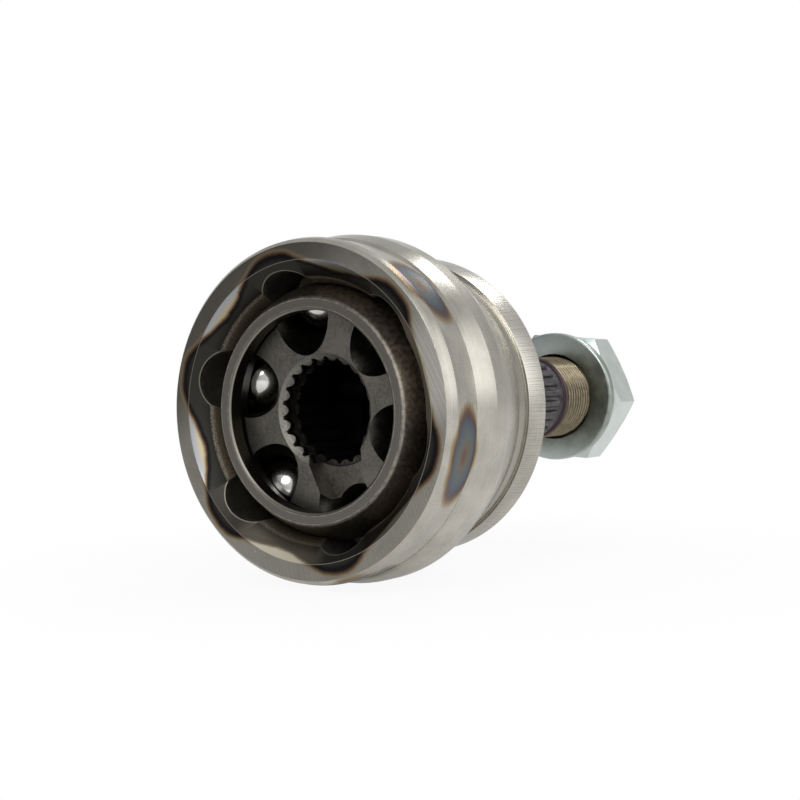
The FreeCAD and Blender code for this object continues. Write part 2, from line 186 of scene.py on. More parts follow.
def groove_tube(name, path, radii, segments):
    """A round bar along a path of (x, z) points, the space that a ball sweeps."""
    rings = []
    for number, point in enumerate(path):
        before, after = path[max(number - 1, 0)], path[min(number + 1, len(path) - 1)]
        along = (after - before).normalized()
        out = Vector((-along.y, along.x))
        ring = []
        for k in range(segments):
            turn = 2 * math.pi * k / segments
            up = out * (radii[number] * math.cos(turn))
            ring.append((point.x + up.x, radii[number] * math.sin(turn), point.y + up.y))
        rings.append(ring)
    return bar(name, rings)


def plain_mesh(piece):
    """Replace a piece's mesh by what its modifiers make of it."""
    made = bpy.data.meshes.new_from_object(
        piece.evaluated_get(bpy.context.evaluated_depsgraph_get()))
    piece.modifiers.clear()
    piece.data = made


def ring_tree():
    """Geometry nodes that set copies of a shape evenly about the joint's axis."""
    tree = bpy.data.node_groups.new("copies_about_the_axis", "GeometryNodeTree")
    sockets = {}
    for label, kind in (("Shape", "NodeSocketGeometry"), ("Copies", "NodeSocketInt"),
                        ("First angle", "NodeSocketFloat"), ("Finish", "NodeSocketMaterial")):
        sockets[label] = tree.interface.new_socket(label, in_out="INPUT", socket_type=kind)
    tree.interface.new_socket("Ring", in_out="OUTPUT", socket_type="NodeSocketGeometry")
    add, link = tree.nodes.new, tree.links.new
    given, result = add("NodeGroupInput"), add("NodeGroupOutput")
    line = add("GeometryNodeMeshLine")
    line.inputs["Offset"].default_value = (0, 0, 0)
    link(given.outputs["Copies"], line.inputs["Count"])
    step = add("ShaderNodeMath")
    step.operation = "DIVIDE"
    step.inputs[0].default_value = 2 * math.pi
    link(given.outputs["Copies"], step.inputs[1])
    turn = add("ShaderNodeMath")
    turn.operation = "MULTIPLY_ADD"
    link(add("GeometryNodeInputIndex").outputs[0], turn.inputs[0])
    link(step.outputs[0], turn.inputs[1])
    link(given.outputs["First angle"], turn.inputs[2])
    angles = add("ShaderNodeCombineXYZ")
    link(turn.outputs[0], angles.inputs["X"])
    copies = add("GeometryNodeInstanceOnPoints")
    link(line.outputs[0], copies.inputs["Points"])
    link(given.outputs["Shape"], copies.inputs["Instance"])
    link(angles.outputs[0], copies.inputs["Rotation"])
    real = add("GeometryNodeRealizeInstances")
    link(copies.outputs[0], real.inputs[0])
    finish = add("GeometryNodeSetMaterial")
    link(real.outputs[0], finish.inputs["Geometry"])
    link(given.outputs["Finish"], finish.inputs["Material"])
    link(finish.outputs[0], result.inputs[0])
    return tree, {label: socket.identifier for label, socket in sockets.items()}


RING_TREE, RING_INPUTS = ring_tree()


def ring_of(piece, copies, first_angle, finish):
    """Repeat a piece, made at the top of the joint, about the axis."""
    modifier = piece.modifiers.new("ring", "NODES")
    modifier.node_group = RING_TREE
    modifier[RING_INPUTS["Copies"]] = copies
    modifier[RING_INPUTS["First angle"]] = first_angle
    modifier[RING_INPUTS["Finish"]] = finish
    plain_mesh(piece)


def cut(piece, tool, operation="DIFFERENCE"):
    """Shape a piece with a tool. The new faces keep the tool's own finish, if it has one."""
    modifier = piece.modifiers.new("cut", "BOOLEAN")
    modifier.solver = "EXACT"
    modifier.operation = operation
    modifier.material_mode = "TRANSFER"
    modifier.object = tool
    plain_mesh(piece)
    bpy.data.objects.remove(tool)


DOUBLED = 0.002 * MM


def shade(piece, crease=26):
    """Smooth faces with sharp creases, on a mesh without doubled points."""
    mesh = bmesh.new()
    mesh.from_mesh(piece.data)
    bmesh.ops.remove_doubles(mesh, verts=mesh.verts, dist=DOUBLED)
    bmesh.ops.dissolve_degenerate(mesh, edges=mesh.edges, dist=DOUBLED)
    mesh.to_mesh(piece.data)
    mesh.free()
    piece.data.shade_smooth()
    piece.data.set_sharp_from_angle(angle=math.radians(crease))


def arc(centre_x, radius, start, end, steps):
    """Points of an arc about a point of the axis. The angles are measured from straight up."""
    turns = [start + (end - start) * k / steps for k in range(steps + 1)]
    return [Vector((centre_x + radius * math.sin(a), radius * math.cos(a))) for a in turns]


def srgb(red, green, blue):
    """A colour as it looks, 0 to 255, turned into the linear values of the shaders."""
    return tuple(((c / 255 + 0.055) / 1.055) ** 2.4 for c in (red, green, blue)) + (1.0,)


class Wire:
    """A shader socket on which Python's arithmetic makes Math nodes."""

    def __init__(self, shades, socket):
        self.shades = shades
        self.socket = socket

    def math(self, operation, *others):
        """A Math node with this socket first and the others after it."""
        inputs = dict(enumerate((self, *others)))
        return self.shades.node("ShaderNodeMath", inputs, operation=operation)

    def __add__(self, other):
        return self.math("ADD", other)

    def __sub__(self, other):
        return self.math("SUBTRACT", other)

    def __mul__(self, other):
        return self.math("MULTIPLY", other)

    def __truediv__(self, other):
        return self.math("DIVIDE", other)

    def __pow__(self, other):
        return self.math("POWER", other)

    def __rsub__(self, other):
        return self.shades.node("ShaderNodeMath", {0: other, 1: self}, operation="SUBTRACT")

    def __neg__(self):
        return self * -1

    def __abs__(self):
        return self.math("ABSOLUTE")

    __radd__ = __add__

    def fade(self, low, high):
        """0 at low, 1 at high, smooth between. Low may be above high."""
        inputs = {"Value": self, "From Min": low, "From Max": high}
        return self.shades.node("ShaderNodeMapRange", inputs, interpolation_type="SMOOTHSTEP")

    def band(self, low, high, soft):
        """1 between low and high, 0 outside."""
        return self.fade(low - soft, low + soft) * self.fade(high + soft, high - soft)


class Shades:
    """The nodes of one finish, or of the light around the object."""

    def __init__(self, tree):
        self.tree = tree

    def node(self, kind, inputs=None, out=0, stops=None, **settings):
        """Any node: its settings, then the values or links of its inputs."""
        node = self.tree.nodes.new(kind)
        for name, value in settings.items():
            setattr(node, name, value)
        if stops:
            elements = node.color_ramp.elements
            while len(elements) < len(stops):
                elements.new(1.0)
            for element, (position, colour) in zip(elements, stops):
                element.position = position
                element.color = colour
        for name, value in (inputs or {}).items():
            self.give(node.inputs[name], value)
        return Wire(self, node.outputs[out])

    def give(self, socket, value):
        """Link a wire to an input, or set the input to a plain value."""
        if isinstance(value, Wire):
            self.tree.links.new(value.socket, socket)
        else:
            socket.default_value = value

    def mix(self, part, one, two):
        """A colour between two colours, by the sockets that a Mix node has for colours."""
        return self.node("ShaderNodeMix", {0: part, 6: one, 7: two}, out=2, data_type="RGBA")

    def ramp(self, part, stops):
        """A colour from a row of (position, colour) stops."""
        return self.node("ShaderNodeValToRGB", {0: part}, stops=stops)


class Paint(Shades):
    """A finish on object coordinates, in millimetres about the joint's axis."""

    def __init__(self, name):
        self.material = bpy.data.materials.new(name)
        self.material.use_nodes = True
        super().__init__(self.material.node_tree)
        self.shader = self.tree.nodes["Principled BSDF"]
        self.place = self.node("ShaderNodeTexCoord", out="Object")
        split = self.node("ShaderNodeSeparateXYZ", {0: self.place}).socket.node
        self.x, self.y, self.z = [Wire(self, out) * (1 / MM) for out in split.outputs]
        self.radius = (self.y * self.y + self.z * self.z) ** 0.5
        self.angle = self.z.math("ARCTAN2", self.y)

    def toward(self, side):
        """How far a point lies toward one side, given as an angle from the y axis."""
        return self.y * math.cos(side) + self.z * math.sin(side)

    def from_groove(self):
        """The angle from the middle of the nearest ball groove."""
        turned = self.angle + (GROOVE_PITCH / 2 - FIRST_GROOVE)
        return turned.math("FLOORED_MODULO", GROOVE_PITCH) - GROOVE_PITCH / 2

    def noise(self, scale, detail=3.0, roughness=0.6, stretch=(1, 1, 1)):
        """Noise with features of about 1 / scale millimetres."""
        place = self.node("ShaderNodeVectorMath", {0: self.place, 1: stretch}, operation="MULTIPLY")
        return self.node("ShaderNodeTexNoise", {
            "Vector": place, "Scale": scale / MM, "Detail": detail, "Roughness": roughness})

    def lines(self, along, scale, detail=2.0):
        """Noise along one measure only, such as the marks that a cutting tool leaves."""
        return self.node("ShaderNodeTexNoise", {
            "W": along, "Scale": scale, "Detail": detail, "Roughness": 0.7},
            noise_dimensions="1D")

    def finish(self, colour, roughness, height=None, depth=0.0, metallic=1.0):
        """Connect the shader. The bump's depth is in millimetres."""
        for name, value in (("Base Color", colour), ("Roughness", roughness), ("Metallic", metallic)):
            self.give(self.shader.inputs[name], value)
        if height is not None:
            bump = self.node("ShaderNodeBump", {"Height": height, "Distance": depth * MM})
            self.tree.links.new(bump.socket, self.shader.inputs["Normal"])
        return self.material


def groove_distance(paint):
    """How far a point of the mouth lies from the edge of the nearest ball groove."""
    delta = paint.from_groove()
    ahead = -(paint.x + PATH_OFFSET)
    up = paint.radius * delta.math("COSINE")
    across = paint.radius * delta.math("SINE")
    off_path = (ahead * ahead + up * up) ** 0.5 - PATH_RADIUS
    flare = (ahead.math("ARCTAN2", up) - FLARE_START).math("MAXIMUM", 0.0)
    bore = flare * (FLARE_SLOPE * PATH_RADIUS) + GROOVE_RADIUS
    return (off_path * off_path + across * across) ** 0.5 - bore


# Where the dark tint of the mouth ends: far out at the grooves, on the chamfer between them
TINT_MEAN = 36.2
TINT_SWING = 1.8
TINT_REACH = 1.1
TINT_STOPS = [(0.0, srgb(150, 142, 124)), (0.24, srgb(146, 132, 106)), (0.38, srgb(118, 98, 74)),
              (0.5, srgb(76, 60, 50)), (0.6, srgb(32, 27, 28)), (0.74, srgb(30, 29, 31)),
              (1.0, srgb(54, 52, 48))]


def tint_depth(paint):
    """How far a point lies inside the wavy edge of the mouth's dark tint."""
    wobble = (paint.noise(0.18) - 0.5) * 0.9
    wave = (paint.from_groove() * GROOVES).math("COSINE")
    limit = wave * TINT_SWING + wave.fade(0.1, 0.9) * TINT_REACH + TINT_MEAN
    return limit - paint.radius + wobble


def mouth_tint(paint, depth, clean, width):
    """A clean colour with the mouth's temper colours over it, in a band of the given width."""
    burnt = paint.ramp(depth / width + 0.5, TINT_STOPS)
    return paint.mix(depth.fade(-0.42 * width, -0.08 * width), clean, burnt)


# The heat spots on the boot's land, one over each ball groove
SPOT_X = -12.8
SPOT_LENGTH = 6.3
SPOT_WIDTH = 10.8
SPOT_HEAT = 1.12
SPOT_STOPS = [(0.0, srgb(178, 172, 156)), (0.15, srgb(156, 140, 114)), (0.27, srgb(112, 88, 70)),
              (0.37, srgb(86, 76, 80)), (0.50, srgb(84, 92, 102)), (0.70, srgb(96, 104, 104)),
              (0.86, srgb(112, 100, 88)), (1.0, srgb(104, 82, 70))]

# Where the wheel that ground the mouth's face turned, as (y, z), and the side of the face that gets
# painted shade
GRIND_Y, GRIND_Z = 95.0, -60.0
FACE_SHADE_SIDE = math.radians(50)


def heat_spots(paint, clean, marks):
    """The boot's land, with an oval spot of temper colours over each ball groove."""
    cloud = paint.noise(0.05, 3.0, 0.5)
    across = paint.from_groove() * (BOOT_LAND / SPOT_WIDTH)
    along = (paint.x - SPOT_X) / SPOT_LENGTH
    spot = (across * across + along * along) ** 0.5 + (cloud - 0.5) * 0.9 + (marks - 0.5) * 0.1
    heat = SPOT_HEAT - spot - paint.x.fade(BOOT_STEP - 1.0, BOOT_STEP + 0.8) * 0.45
    burnt = paint.ramp(heat, SPOT_STOPS)
    return paint.mix(heat.fade(0.0, 0.14) * paint.x.fade(2.0, -2.0), clean, burnt)


def ground_face(paint, scratches, blotch):
    """The mouth's ground face, with painted shade on one side and a painted highlight on the other, with
    its tint and a painted highlight along its edge.
    """
    ground = paint.mix(scratches.fade(0.3, 0.75), srgb(138, 135, 127), srgb(166, 163, 155))
    ground = paint.mix(blotch.fade(0.45, 0.7) * 0.4, ground, srgb(112, 107, 98))
    ground = paint.mix(paint.noise(0.8, 2.0).fade(0.66, 0.74) * 0.35, ground, srgb(200, 197, 190))
    # Painted shade darkens the face toward one side.
    face_shade = paint.toward(FACE_SHADE_SIDE).fade(13.0, 31.0)
    ground = paint.mix(face_shade * 0.8, ground, srgb(84, 80, 72))
    # Painted highlight: the face is lighter on the other side, where its grinding scratches glint.
    face_highlight = paint.y.fade(-22.0, -38.0) * paint.z.band(0.0, 22.0, 6.0)
    ground = paint.mix(face_highlight * 0.7, ground, srgb(196, 193, 185))
    ground = paint.mix(face_highlight * scratches.fade(0.48, 0.66) * 0.6, ground, srgb(244, 241, 234))
    ground = mouth_tint(paint, tint_depth(paint), ground, 4.0)
    # Painted highlight: a thin light line along the face's inner edge.
    face_edge_highlight = paint.radius.fade(MOUTH_EDGE + 0.22, MOUTH_EDGE + 0.08)
    return paint.mix(face_edge_highlight * 0.5, ground, srgb(190, 184, 172))


def bell_steel():
    """Turned outside, ground mouth face, ticked collar and the stub's darker steel, with painted shade
    on the waist and a painted highlight on the collar's top.
    """
    paint = Paint("bell_steel")
    marks = paint.lines(paint.x, 2.6, 5.0)
    blotch = paint.noise(0.10, 4.0)
    clean = paint.mix(blotch.fade(0.3, 0.72), srgb(170, 167, 158), srgb(194, 190, 180))
    clean = paint.mix(marks.fade(0.35, 0.8) * 0.35, clean, srgb(214, 210, 200))
    # Painted shade darkens the hollow waist between the ridge and the collar.
    waist_shade = paint.x.band(WAIST_X - 1.0, COLLAR_FRONT - 0.1, 1.0)
    clean = paint.mix(waist_shade * 0.6, clean, srgb(142, 138, 126))
    # Painted highlight: the top of the collar is lighter.
    collar_top_highlight = paint.x.band(COLLAR_FRONT, COLLAR_BACK + 0.2, 0.2) * paint.z.fade(-8.0, 8.0)
    clean = paint.mix(collar_top_highlight * 0.6, clean, srgb(222, 219, 210))
    colour = heat_spots(paint, clean, marks)
    ticks = paint.lines(paint.angle, 160.0) * paint.x.band(COLLAR_FRONT + 0.2, COLLAR_BACK, 0.1)
    colour = paint.mix(ticks.fade(0.42, 0.75) * 0.65, colour, srgb(104, 100, 92))
    stub = paint.x.fade(SPLINE_START - 2.0, SPLINE_START + 1.0)
    worn = paint.noise(0.5, 4.0)
    dark_stub = paint.mix(worn.fade(0.35, 0.7), srgb(72, 68, 73), srgb(106, 101, 104))
    colour = paint.mix(stub, colour, dark_stub)
    from_wheel_y, from_wheel_z = paint.y - GRIND_Y, paint.z - GRIND_Z
    from_wheel = (from_wheel_y * from_wheel_y + from_wheel_z * from_wheel_z) ** 0.5
    scratches = paint.lines(from_wheel, 3.8, 5.0)
    face = paint.x.fade(MOUTH_X + 0.06, MOUTH_X + 0.02)
    colour = paint.mix(face, colour, ground_face(paint, scratches, blotch))
    roughness = 0.17 + marks * 0.12 + blotch * 0.08 + face * 0.18 + stub * 0.12
    height = marks * (1.0 - face) + scratches * face + ticks * 2.5
    return paint.finish(colour, roughness, height, 0.006)


# Where the chamfer gets painted highlights, as angles from the y axis, below it and above it
MOUTH_HIGHLIGHT_LOW = math.radians(75)
MOUTH_HIGHLIGHT_HIGH = math.radians(165)


def mouth_steel():
    """Turned chamfer of the mouth, bright between the grooves, with painted highlights at the bottom, on
    the right and along its edges, and the cavity behind it, with painted shade deeper in.
    """
    paint = Paint("mouth_steel")
    marks = paint.lines(paint.radius, 5.0, 3.0)
    grain = paint.noise(2.4, 5.0)
    bright = paint.mix(paint.radius.fade(35.0, 36.2), srgb(176, 165, 136), srgb(158, 160, 164))
    low = (paint.angle + MOUTH_HIGHLIGHT_LOW).math("COSINE").fade(0.91, 0.985)
    high = (paint.angle - MOUTH_HIGHLIGHT_HIGH).math("COSINE").fade(0.88, 0.97)
    # Painted highlight: the chamfer is much lighter at the bottom and on the right.
    mouth_highlight = low.math("MAXIMUM", high)
    bright = paint.mix(mouth_highlight, bright, srgb(250, 242, 220))
    depth = tint_depth(paint)
    cone = mouth_tint(paint, depth, bright, 2.0)
    cone = paint.mix(mouth_highlight * 0.32, cone, srgb(180, 172, 154))
    dull = paint.mix(grain.fade(0.3, 0.75), srgb(98, 90, 77), srgb(138, 127, 108))
    # Painted shade: the spherical seat behind the lip is dark and darkens to nearly black deeper in.
    seat_shade_depth = paint.x.fade(-4.0, 8.0)
    seat_in_shade = paint.mix(grain.fade(0.3, 0.75), srgb(62, 59, 54), srgb(80, 75, 67))
    seat = paint.mix(seat_shade_depth, seat_in_shade, srgb(20, 19, 18))
    behind = paint.mix(paint.x.fade(LIP_X - 0.3, LIP_X + 0.5), dull, seat)
    colour = paint.mix(paint.x.fade(CONE_END - 0.1, CONE_END + 0.1), cone, behind)
    # Painted highlights: light lines along the throat's edge and the edges of the ball grooves.
    throat_highlight = (1.0 - abs(paint.radius - THROAT).fade(0.1, 0.4)) * grain.fade(0.3, 0.6)
    groove_edge_highlight = groove_distance(paint).fade(0.32, 0.1) * paint.x.fade(-11.0, -13.0)
    edge_highlights = (throat_highlight * 0.7).math("MAXIMUM", groove_edge_highlight * 0.4)
    colour = paint.mix(edge_highlights, colour, srgb(170, 164, 150))
    roughness = 0.26 + depth.fade(-0.5, 0.8) * 0.12 + paint.y.fade(-12.0, -34.0) * 0.2
    roughness = roughness + paint.x.fade(CONE_END - 0.25, CONE_END + 0.35) * 0.12 + grain * 0.06
    return paint.finish(colour, roughness, marks + grain, 0.004)


def groove_steel():
    """Hardened and ground ball grooves, with painted shade that turns them nearly black deeper in."""
    paint = Paint("groove_steel")
    grain = paint.noise(0.9, 4.0)
    colour = paint.mix(grain.fade(0.3, 0.7), srgb(112, 108, 102), srgb(138, 133, 125))
    # Painted shade darkens the grooves toward the back of the bell.
    colour = paint.mix(paint.x.fade(-6.0, 4.0), colour, srgb(22, 21, 20))
    return paint.finish(colour, 0.42 + grain * 0.1, grain, 0.008)


def spline_steel():
    """Flanks of the stub's splines."""
    paint = Paint("spline_steel")
    grain = paint.noise(0.7, 4.0, 0.6, (0.4, 1, 1))
    colour = paint.mix(grain.fade(0.3, 0.7), srgb(64, 60, 65), srgb(112, 107, 109))
    return paint.finish(colour, 0.32 + grain * 0.12, grain, 0.01)


def thread_steel():
    """Rolled thread, straw and tan with purple where it meets the splines, with painted shade in its
    roots.
    """
    paint = Paint("thread_steel")
    grain = paint.noise(0.5, 4.0)
    straw = paint.mix(grain.fade(0.3, 0.7), srgb(122, 112, 92), srgb(150, 139, 117))
    # Painted shade: the thread's roots are dark, its crests straw.
    colour = paint.mix(paint.radius.fade(11.35, 11.9), srgb(58, 53, 46), straw)
    colour = paint.mix(paint.x.fade(92.5, 89.5), colour, srgb(70, 56, 64))
    return paint.finish(colour, 0.24 + grain * 0.1)


EDGE = 0.15
CORNER = 0.3
bell_outside = [
    (MOUTH_X, 0, 0), (MOUTH_X, FACE_EDGE, 0.12), (MOUTH_X + 0.95, FACE_EDGE + 0.95, 0.5),
    (RIM_BACK, RIM_RADIUS, 0.2), (RIM_BACK, BOOT_LAND, 0.05), (BOOT_STEP, BOOT_LAND, 0.2),
    (BOOT_STEP + 0.6, BOOT_LAND + 0.6, 0.1), (-2, RIDGE_RADIUS, 0.8), (3, RIDGE_RADIUS, 1.5),
    (WAIST_X, WAIST_RADIUS, 4.0), (COLLAR_FRONT, WAIST_RADIUS, EDGE),
    (COLLAR_FRONT, COLLAR_RADIUS - 0.8, EDGE), (COLLAR_BACK, COLLAR_RADIUS, CORNER),
    (COLLAR_BACK + 0.9, COLLAR_RADIUS - 0.9, 0.5), (SHOULDER_X, SHOULDER_RADIUS, 0.8),
    (SHOULDER_X, HUB_SEAT_RADIUS, 0.5), (HUB_SEAT_X, HUB_SEAT_RADIUS, 0.4),
    (HUB_SEAT_X, PILOT_RADIUS, 0.6)]
stub_outside = [
    (SPLINE_START, PILOT_RADIUS, 0.4), (SPLINE_START, SPLINE_RADIUS, CORNER),
    (SPLINE_END - 0.8, SPLINE_RADIUS, EDGE), (SPLINE_END, SPLINE_RADIUS - 0.8, EDGE),
    (SPLINE_END, NECK_RADIUS, CORNER), (THREAD_START, NECK_RADIUS, EDGE),
    (THREAD_START + 0.3, CORE_RADIUS, EDGE), (STUB_END - 1.4, CORE_RADIUS, EDGE),
    (STUB_END, CORE_RADIUS - 0.48, EDGE), (STUB_END, CENTRE_RADIUS, EDGE),
    (STUB_END - CENTRE_DEPTH, 0, 0)]
bell = lathe("bell_forging", rounded(bell_outside + stub_outside))
bell.data.materials.append(bell_steel())

seat_start = -math.acos(SEAT_LIP / SEAT_RADIUS)
seat_end = math.asin(BACK_WALL / SEAT_RADIUS)
cavity = lathe("cavity", [
    Vector((MOUTH_X - 1, 0)), Vector((MOUTH_X - 1, MOUTH_EDGE + 1)), Vector((CONE_END, THROAT)),
    *arc(0, SEAT_RADIUS, seat_start, seat_end, 48),
    Vector((BACK_WALL, BACK_CONE_RADIUS)), Vector((BACK_WALL + BACK_CONE_DEPTH, 0))])
cavity.data.materials.append(mouth_steel())
cut(bell, cavity)
GROOVE_STEPS = 96
groove_route = arc(-PATH_OFFSET, PATH_RADIUS, -GROOVE_SWEEP, GROOVE_SWEEP, GROOVE_STEPS)
groove_radii = []
for step in range(GROOVE_STEPS + 1):
    past_flare = max(0.0, GROOVE_SWEEP * (1 - 2 * step / GROOVE_STEPS) - FLARE_START)
    groove_radii.append(GROOVE_RADIUS + FLARE_SLOPE * PATH_RADIUS * past_flare)
grooves = groove_tube("grooves", groove_route, groove_radii, 96)
ring_of(grooves, GROOVES, TOP_TO_GROOVE, groove_steel())
cut(bell, grooves)

# One flank of a tooth space from its mouth inward, as (half its width as a part of the pitch, depth
# there as a part of the tooth's height)
SPACE_FLANK = [(0.42, 0.0), (0.29, 0.2), (0.2, 0.5), (0.12, 1.0)]
SPACE_MOUTH = 0.52
SPACE_OVER = 0.6


def tooth_space(name, count, tip, root, start, end):
    """A bar with the section of one spline space, at the top of the joint. The teeth have round tips."""
    pitch = 2 * tip * math.pi / count
    over = math.copysign(SPACE_OVER, root - tip)
    right = [(pitch * SPACE_MOUTH, tip - over)]
    right += [(pitch * width, tip + depth * (root - tip)) for width, depth in SPACE_FLANK]
    left = [(-y, z) for y, z in reversed(right)]
    return prism(name, right + left, start, end)


spaces = tooth_space(
    "stub_spaces", SPLINE_TEETH, SPLINE_RADIUS, SPLINE_ROOT, SPLINE_START, SPLINE_END + 1)
ring_of(spaces, SPLINE_TEETH, 0.0, spline_steel())
cut(bell, spaces)
shade(bell)
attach(bell, "bell")
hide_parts("bell")


THREAD_MARGIN = 0.2
THREAD_CREST = 0.15
THREAD_FLANK = 1.3
LEAD_IN = 2.0
LEAD_OUT = 1.2


def limited(value):
    """A value kept between 0 and 1."""
    return min(1.0, max(0.0, value))


def make_thread():
    """Helical ridges of the stub's thread, fading out at both of its ends."""
    segments, per_turn = 96, 10
    rows = int((STUB_END - THREAD_START - 2 * THREAD_MARGIN) / THREAD_PITCH * per_turn)
    rings = []
    for row in range(rows + 1):
        x = THREAD_START + THREAD_MARGIN + row * THREAD_PITCH / per_turn
        height = (THREAD_RADIUS - THREAD_ROOT) * min(
            limited((x - THREAD_START) / LEAD_IN), limited((STUB_END - x) / LEAD_OUT))
        ring = []
        for k in range(segments):
            turn = 2 * math.pi * k / segments
            phase = (row / per_turn - k / segments) % 1.0
            ridge = limited(1 + THREAD_CREST - abs(2 * phase - 1) * THREAD_FLANK)
            r = THREAD_ROOT + height * ridge
            ring.append((x, r * math.cos(turn), r * math.sin(turn)))
        rings.append(ring)
    return bar("stub_thread", rings)


thread = make_thread()
thread.data.materials.append(thread_steel())
shade(thread, 40)
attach(thread, "bell")

# Inner race
# A hardened steel ring, turned spherical outside, with six ground ball grooves and a broached bore.
# A ring groove and a slot for pliers are cut into its front lip. It is matte grey from hardening.
RACE_SPHERE = 28.1
RACE_HALF = 12.0
RACE_TIP = 12.3
RACE_ROOT = 13.3
RACE_TEETH = 22
RACE_CHAMFER = 0.8
BEVEL_RADIUS = RACE_ROOT + 0.8
RING_GROOVE_FRONT = -8.5
RING_GROOVE_BACK = -6.0
RING_GROOVE_RADIUS = 14.0
SLOT_TURN = math.radians(240)
SLOT_INNER_HALF = 10.2
SLOT_OUTER_HALF = 6.4
SLOT_REACH = 21.0


def race_steel():
    """Matte hardened steel, with painted highlights where the tooth ends are chamfered and behind the
    ring groove, and painted shade down the bore.
    """
    paint = Paint("race_steel")
    grain = paint.noise(1.4, 6.0)
    patch = paint.noise(0.15)
    colour = paint.mix(grain.fade(0.3, 0.7), srgb(92, 89, 84), srgb(118, 115, 108))
    colour = paint.mix(patch.fade(0.4, 0.7) * 0.5, colour, srgb(132, 128, 120))
    # Painted highlight: the chamfered tooth ends are lighter.
    bore_chamfer_highlight = paint.radius.band(BEVEL_RADIUS - 1.2, BEVEL_RADIUS - 0.05, 0.12)
    bore_chamfer_highlight = bore_chamfer_highlight * paint.x.fade(1.6 - RACE_HALF, 1.1 - RACE_HALF)
    colour = paint.mix(bore_chamfer_highlight * grain.fade(0.2, 0.6), colour, srgb(134, 132, 123))
    # Painted shade: the bore darkens to nearly black behind its front chamfer.
    bore = paint.radius.fade(BEVEL_RADIUS + 0.1, BEVEL_RADIUS - 0.3)
    bore = bore * paint.x.fade(1.4 - RACE_HALF, 2.4 - RACE_HALF)
    colour = paint.mix(bore * 0.9, colour, srgb(30, 28, 27))
    # Painted highlight: the ends of the teeth behind the ring groove are lighter.
    row_end_highlight = paint.x.band(RING_GROOVE_BACK, RING_GROOVE_BACK + 0.6, 0.2)
    row_end_highlight = row_end_highlight * paint.radius.band(RACE_TIP + 0.1, RACE_ROOT + 0.3, 0.2)
    colour = paint.mix(row_end_highlight * grain.fade(0.3, 0.6) * 0.6, colour, srgb(128, 124, 116))
    return paint.finish(colour, 0.42 + grain * 0.12, grain, 0.015)


def track_steel():
    """Ball grooves of the race, ground after hardening, in dark grey."""
    paint = Paint("track_steel")
    grain = paint.noise(0.8, 4.0, 0.6, (0.4, 1, 1))
    colour = paint.mix(grain.fade(0.3, 0.7), srgb(54, 52, 49), srgb(78, 75, 70))
    return paint.finish(colour, 0.26 + grain * 0.12, grain, 0.008)


sphere_half = RACE_HALF - RACE_CHAMFER
face_radius = math.sqrt(RACE_SPHERE**2 - sphere_half**2) - RACE_CHAMFER
lean = math.asin(sphere_half / RACE_SPHERE)
race = lathe("race_ring", [
    Vector((-RACE_HALF, RACE_TIP)), Vector((-RACE_HALF, face_radius)),
    *arc(0, RACE_SPHERE, -lean, lean, 40),
    Vector((RACE_HALF, face_radius)), Vector((RACE_HALF, RACE_TIP))])
race_finish = race_steel()
race.data.materials.append(race_finish)
TRACK_STEPS = 90
track_route = arc(PATH_OFFSET, PATH_RADIUS, -GROOVE_SWEEP, GROOVE_SWEEP, TRACK_STEPS)
tracks = groove_tube("race_tracks", track_route, [GROOVE_RADIUS] * (TRACK_STEPS + 1), 72)
ring_of(tracks, GROOVES, TOP_TO_GROOVE, track_steel())
cut(race, tracks)
teeth = tooth_space("bore_spaces", RACE_TEETH, RACE_TIP, RACE_ROOT, -RACE_HALF - 1, RACE_HALF + 1)
ring_of(teeth, RACE_TEETH, 0.0, race_finish)
cut(race, teeth)
for way in (-1, 1):
    face = way * RACE_HALF
    bevel = lathe("bore_bevel", [
        Vector((face + way, 0)), Vector((face + way, BEVEL_RADIUS + 1)),
        Vector((face - way * BEVEL_RADIUS, 0))])
    cut(race, bevel)
ring_groove = lathe("ring_groove", [
    Vector((RING_GROOVE_FRONT, 0)), Vector((RING_GROOVE_FRONT, RING_GROOVE_RADIUS)),
    Vector((RING_GROOVE_BACK, RING_GROOVE_RADIUS)), Vector((RING_GROOVE_BACK, 0))])
cut(race, ring_groove)
slot_outline = [Vector(corner) for corner in (
    (SLOT_REACH, -SLOT_OUTER_HALF), (0, -SLOT_INNER_HALF),
    (0, SLOT_INNER_HALF), (SLOT_REACH, SLOT_OUTER_HALF))]
turned = Matrix.Rotation(FIRST_GROOVE + SLOT_TURN, 2)
slot = prism("pliers_slot", [turned @ corner for corner in slot_outline],
             -RACE_HALF - 1, RING_GROOVE_BACK)
cut(race, slot)
shade(race)
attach(race, "inner_race")
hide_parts("inner_race")

# Ball cage
# A case-hardened steel ring, spherical inside and out, with six milled windows that keep the balls
# in one plane. Its front rim is ground, with painted highlights at its edges.
CAGE_OUTER = 33.0
CAGE_INNER = 28.3
CAGE_FRONT = -18.2
CAGE_REAR = 16.5
CAGE_MOUTH = 24.5
CAGE_CHAMFER = 0.5
WINDOW_HALF_WIDTH = 8.29
WINDOW_HALF_LENGTH = 10.25
WINDOW_CORNER = 2.5
WINDOW_FOOT = 20.0
CAGE_HIGHLIGHT_SIDE = math.radians(127)
outer_front = CAGE_FRONT + CAGE_CHAMFER
outer_rear = CAGE_REAR - CAGE_CHAMFER
front_edge = math.sqrt(CAGE_OUTER**2 - outer_front**2) - CAGE_CHAMFER
rear_edge = math.sqrt(CAGE_OUTER**2 - outer_rear**2) - CAGE_CHAMFER


